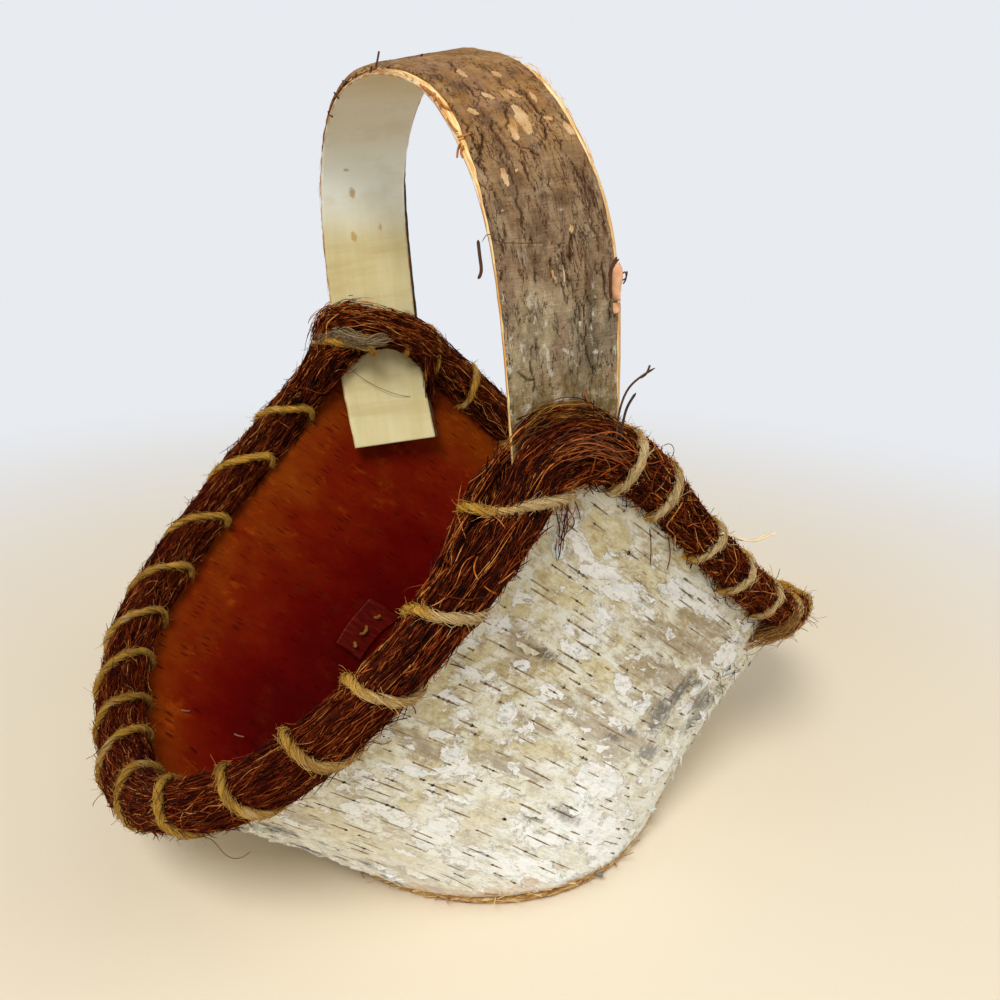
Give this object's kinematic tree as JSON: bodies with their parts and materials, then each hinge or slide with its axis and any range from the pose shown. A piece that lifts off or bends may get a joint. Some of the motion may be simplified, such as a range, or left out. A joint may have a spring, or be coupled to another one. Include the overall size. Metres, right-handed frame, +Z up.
{
  "type": "birch bark basket",
  "caption": "Small birch bark basket with a flaring saddle-shaped mouth, coir-wrapped jute-laced rim and a fixed bent strip handle.",
  "frame": {"origin": "middle of the whole basket's footprint, on the surface that it stands on", "axes": "+X along the mouth's length towards its narrow end, +Y across the basket along the handle's arch, +Z up"},
  "size_m": [0.2736, 0.2059, 0.2464],
  "materials": {
    "outer_bark": "white birch bark with grey lenticels and peeling flakes outside, smooth red-brown inner bark inside",
    "edge_bark": "rough cut bark",
    "coir": "loose red-brown coconut fibre",
    "jute": "fuzzy jute cord",
    "pale_wood": "smooth peeled wood",
    "handle_bark": "rough grey-brown bark",
    "tab_bark": "smooth red-brown inner bark"
  },
  "bodies": {
    "root": {"bark_body": "outer_bark", "base_plate": "edge_bark", "outer_coir": "coir", "inner_coir": "coir", "left_lacing": "jute", "right_lacing": "jute", "handle_wood": "pale_wood", "handle_bark": "handle_bark", "inner_tab": "tab_bark", "tab_stitch": "jute"}
  },
  "joints": []
}
